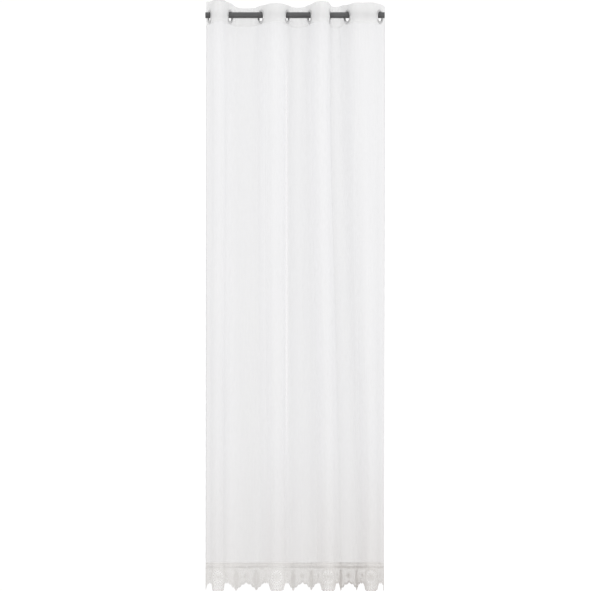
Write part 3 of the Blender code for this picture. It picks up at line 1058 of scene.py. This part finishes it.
def leaf_strokes(place):
    """A pointed leaf with a midrib and slanting veins, a curl and a stem on each side of it."""
    top, tip = (place, LEAF_TOP), (place, LEAF_TIP)
    yield bowed(top, tip, 0.0, 13), 0.0019
    for side in (1, -1):
        yield bowed(top, tip, side * LEAF_HALF, 21), 0.0021
        for share in LEAF_VEINS:
            height = LEAF_TOP + (LEAF_TIP - LEAF_TOP) * share
            end = (place + side * leaf_reach(share) * 0.88, height + 0.005)
            yield bowed((place, height), end, side * 0.001, 4), 0.0013
        yield ring((place + side * 0.0105, -2.3085), 0.0048, 0.0042, 11), 0.0014
        stem = (place + side * 0.0235, -2.3230), (place + side * 0.0135, -2.3590)
        yield bowed(*stem, side * 0.0050, 9), 0.0015


def flower_strokes(place, height, radius):
    """A small flower: six round petals about an eye."""
    yield ring((place, height), radius * 0.30, radius * 0.30, 9), 0.0014
    for turned in np.radians(np.arange(30, 390, 60)):
        way = np.array([math.cos(turned), math.sin(turned)])
        centre = np.array([place, height]) + way * radius * 0.68
        yield ring(centre, radius * 0.34, radius * 0.34, 10), 0.0013


def one_repeat():
    yield from wheel_strokes()
    yield from fan_strokes()
    for place in LEAF_PLACES:
        yield from leaf_strokes(place)
    for flower in FLOWERS:
        yield from flower_strokes(*flower)
    loop = LACE_REPEAT / LOOPS
    for i in range(LOOPS):
        left = -LACE_REPEAT / 2 + i * loop
        ends = (left, LOOP_HEIGHT), (left + loop, LOOP_HEIGHT)
        yield bowed(*ends, -0.0036, 8), 0.0014
    for side in (1, -1):
        for start, end, bow, count, width in SWAGS:
            ends = (side * start[0], start[1]), (side * end[0], end[1])
            yield bowed(*ends, side * bow, count), width


def picots():
    """Small loops of thread all along the edge cord."""
    along = np.linspace(0.002, CLOTH_WIDTH - 0.002, 4001)
    edge = np.stack([along, lace_edge(along) - 0.0003], 1)
    length = length_along(*edge.T)
    marks = np.linspace(0, length[-1], round(length[-1] / PICOT_SPACING) + 1)
    places = np.stack([np.interp(marks, length, edge[:, i]) for i in (0, 1)], 1)
    return [(bowed(one, other, -0.0027, 7), 0.0012) for one, other in zip(places, places[1:])]


def lace_runs():
    """Every cord of the lace: picots, motifs, the edge's two, one down each side, the seam's."""
    strokes = picots()
    for repeat in REPEATS:
        for points, width in one_repeat():
            flat = points + np.array([LACE_START + repeat * LACE_REPEAT, 0.0])
            flat = flat[(flat[:, 0] > LACE_MARGIN) & (flat[:, 0] < CLOTH_WIDTH - LACE_MARGIN)]
            if len(flat) > 2 and np.hypot(*np.diff(flat, axis=0).T).max() < 0.015:
                strokes.append((flat, width))
    along = np.linspace(SIDE_CORD_IN, CLOTH_WIDTH - SIDE_CORD_IN, 1101)
    for inset, width in EDGE_CORDS:
        strokes.append((np.stack([along, lace_edge(along) + inset], 1), width))
    for side in (SIDE_CORD_IN, CLOTH_WIDTH - SIDE_CORD_IN):
        bottom = float(lace_edge(np.array(side))) + SIDE_CORD_IN
        strokes.append((bowed((side, LACE_SEAM), (side, bottom), 0.0, 15), 0.0022))
    runs = [level_run(LACE_SEAM - 0.0012, 0.0008, 0.0007)]
    for flat, width in strokes:
        runs.append((flat, width / 2, width * 0.42, 0.0))
    return runs


def clothwork(flat):
    """How the lace is worked at flat points: 1 filled, 0 net, -1 a finer, opener net."""
    phase = (flat[:, 0] - LACE_START + LACE_REPEAT / 2) % LACE_REPEAT - LACE_REPEAT / 2
    height = flat[:, 1]
    rise = height - WHEEL_HEIGHT
    above_edge = height - lace_edge(flat[:, 0])
    solid = eased((FILLED_EDGE - above_edge) / SOFT_EDGE)
    solid = np.maximum(solid, eased((height - FILLED_ABOVE) / SOFT_EDGE))
    for place in LEAF_PLACES:
        share = np.clip((height - LEAF_TOP) / (LEAF_TIP - LEAF_TOP), 0, 1)
        inside = leaf_reach(share) - np.abs(phase - place)
        solid = np.maximum(solid, eased(inside / SOFT_MOTIF))
    for place, middle, radius in FLOWERS:
        distance = np.hypot(phase - place, height - middle)
        solid = np.maximum(solid, eased((radius - distance) / SOFT_MOTIF))
    away = np.hypot(phase / WHEEL_ACROSS, rise / WHEEL_UP)
    turned = np.degrees(np.arctan2(rise / WHEEL_UP, phase / WHEEL_ACROSS))
    petal = 360 / WHEEL_PETALS
    off_petal = np.abs((turned + petal / 2) % petal - petal / 2) / (petal / 2)
    share = np.clip((away - PETAL_START) / (PETAL_TIP - PETAL_START), 0, 1)
    petal_width = 0.62 * np.sin(math.pi * share) ** 0.6
    in_petal = eased((petal_width - off_petal) / 0.12)
    arch = 360 / WHEEL_ARCHES
    share = (turned % arch) / arch
    arch_top = 0.70 + 0.23 * 4 * share * (1 - share)
    over_arch = eased((away - arch_top) / 0.03)
    wheel = np.where(away < 0.67, 2 * in_petal - 1, 2 * over_arch - 1)
    wheel = np.where(away < 0.18, 1.0, wheel)
    turned = np.degrees(np.arctan2(rise, phase))
    off_rib = np.abs(turned % FAN_RIB - FAN_RIB / 2) / (FAN_RIB / 2)
    ribs = 2 * eased((off_rib - 0.45) / 0.2) - 1
    fan = (rise < -0.010) & (np.abs(phase) < 0.050) & (solid < 0.5)
    return np.where(away < 1.02, wheel, np.where(fan, ribs, solid))


def lace_ground():
    columns = np.linspace(0, CLOTH_WIDTH, LACE_COLUMNS)
    share = np.linspace(0, 1, LACE_ROWS)[:, None]
    heights = LACE_SEAM * (1 - share) + lace_edge(columns) * share
    piece = hung_sheet("lace_ground", columns, heights)
    flat = np.stack(np.broadcast_arrays(columns, heights), -1).reshape(-1, 2)
    solid = piece.data.attributes.new("clothwork", "FLOAT", "POINT")
    solid.data.foreach_set("value", clothwork(flat).astype(np.float32))
    return piece


def net_and_clothwork():
    """The net's threads cross at a slant; the motifs are filled, or opener between cords."""
    tone = new_finish("net_and_clothwork")
    flat = tone.cut(1 / NET_PITCH, 1 / NET_PITCH, 1.0)
    u, v = flat.axis("X"), flat.axis("Y")
    one = tone.maths("PINGPONG", u + v, 0.5)
    other = tone.maths("PINGPONG", u - v, 0.5)
    holes = one.within(0.20, 0.26) * other.within(0.20, 0.26)
    work = tone.node("ShaderNodeAttribute", {"attribute_name": "clothwork"}, output="Fac")
    solid = work.within(0.0, 1.0)
    netted = work.within(-0.6, -0.1) * 0.42 + 0.58
    rows = tone.cut(420.0, 1400.0, 1.0).cloudy(detail=2.0).within(0.3, 0.7)
    threads = (1.0 - holes * 0.9) * netted
    closed = tone.maths("MAXIMUM", threads, solid * (0.90 + rows * 0.10))
    wide = tone.cut(12.0, 20.0, 1.0).cloudy().within(0.3, 0.7)
    net = wide.colours((0.76, 0.74, 0.72), (0.87, 0.855, 0.84))
    filled = rows.colours((0.89, 0.88, 0.87), (0.95, 0.94, 0.93))
    # Painted shade: the lace darkens towards the right.
    painted_shade = (u * NET_PITCH).within(PAINTED_SHADE_FROM, DEEPEST_PAINTED_SHADE_FROM) * 0.44
    cotton = tone.surface(
        base_color=painted_shade.colours(solid.colours(net, filled), LACE_PAINTED_SHADE),
        roughness=0.88,
        sheen_weight=0.1,
        normal=(rows - holes * 0.5).relief(0.0003, 0.6),
    )
    glow = tone.node("ShaderNodeBsdfTranslucent", None, {"Color": (0.89, 0.875, 0.86, 1.0)})
    gaps = tone.node("ShaderNodeBsdfTransparent")
    tone.mixed(closed, gaps, tone.mixed(0.46, cotton, glow)).close()


net_and_clothwork()
lace = lace_ground()
wear(lace, "net_and_clothwork")
cords = cord_piece("lace_cords", lace_runs())
wear(cords, "corded_yarn")
for piece in (lace, cords):
    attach(piece, "root")
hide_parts("lace_border")
depths = LACE_SEAM - lace_edge(np.linspace(0, CLOTH_WIDTH, LACE_COLUMNS))


# -------- Studio
# A pale round floor below the hem, a white surround, and four large soft lights. The camera
# stands level with the middle of the curtain, straight in front, as in the photograph.

FLOOR_MIDDLE = (0.0, -1.42, -2.62)
FLOOR_RADIUS = 3.0
SURROUND_SEEN = 1.05
SURROUND_LIGHT = 0.74
CAMERA_PLACE = (0.0, -9.0, -1.165)
CAMERA_LENS = 131.9

SoftLight = namedtuple("SoftLight", "place aim width height power")
SOFT_LIGHTS = (
    SoftLight((-0.2, -5.6, -0.9), (0.0, 0.0, -1.0), 2.6, 1.4, 34),
    SoftLight((3.9, -2.6, -0.4), (0.0, 0.0, -1.0), 1.2, 2.8, 48),
    SoftLight((-4.1, -2.1, -0.7), (0.0, 0.0, -1.1), 1.4, 2.8, 28),
    SoftLight((0.3, 3.6, -0.1), (0.0, 0.0, -0.9), 2.6, 2.8, 20),
)


def pale_floor():
    tone = new_finish("pale_floor")
    grain = tone.metres().cloudy(6.0)
    colour = grain.colours((0.55, 0.53, 0.505), (0.60, 0.58, 0.56))
    tone.surface(base_color=colour, roughness=0.8).close()


pale_floor()
bpy.ops.object.select_all(action="DESELECT")
bpy.ops.mesh.primitive_circle_add(
    vertices=128, radius=FLOOR_RADIUS, fill_type="NGON", location=FLOOR_MIDDLE
)
floor = bpy.context.object
floor.name = "pale_floor"
wear(floor, "pale_floor")

# The surround is white to the camera, and a little dimmer as a light.
world = bpy.data.worlds.new("white_surround")
bpy.context.scene.world = world
world.use_nodes = True
world.node_tree.nodes.clear()
tone = Tone(world.node_tree)
seen = tone.node("ShaderNodeLightPath", output="Is Camera Ray")
strength = SURROUND_LIGHT + seen * (SURROUND_SEEN - SURROUND_LIGHT)
sockets = {"Color": (1.0, 1.0, 1.0, 1.0), "Strength": strength}
light = tone.node("ShaderNodeBackground", None, sockets)
tone.node("ShaderNodeOutputWorld", None, {"Surface": light}, output=None)

for i, soft in enumerate(SOFT_LIGHTS):
    lamp = bpy.data.lights.new(f"soft_light_{i + 1}", "AREA")
    lamp.shape = "RECTANGLE"
    lamp.size = soft.width
    lamp.size_y = soft.height
    lamp.energy = soft.power
    light = new_object(lamp.name, lamp)
    light.location = soft.place
    aim = np.array(soft.aim) - np.array(soft.place)
    flat_turn = math.atan2(aim[0], -aim[1])
    tilt = math.atan2(math.hypot(aim[0], aim[1]), -aim[2])
    light.rotation_euler = (tilt, 0, flat_turn + math.pi)
    light.visible_camera = False

lens = bpy.data.cameras.new("front_camera")
lens.lens = CAMERA_LENS
lens.sensor_width = 36
lens.clip_end = 60
camera = new_object("front_camera", lens)
camera.location = CAMERA_PLACE
camera.rotation_euler = (math.pi / 2, 0, 0)
bpy.context.scene.camera = camera
bpy.context.scene.view_settings.view_transform = "Standard"

bpy.context.view_layer.update()
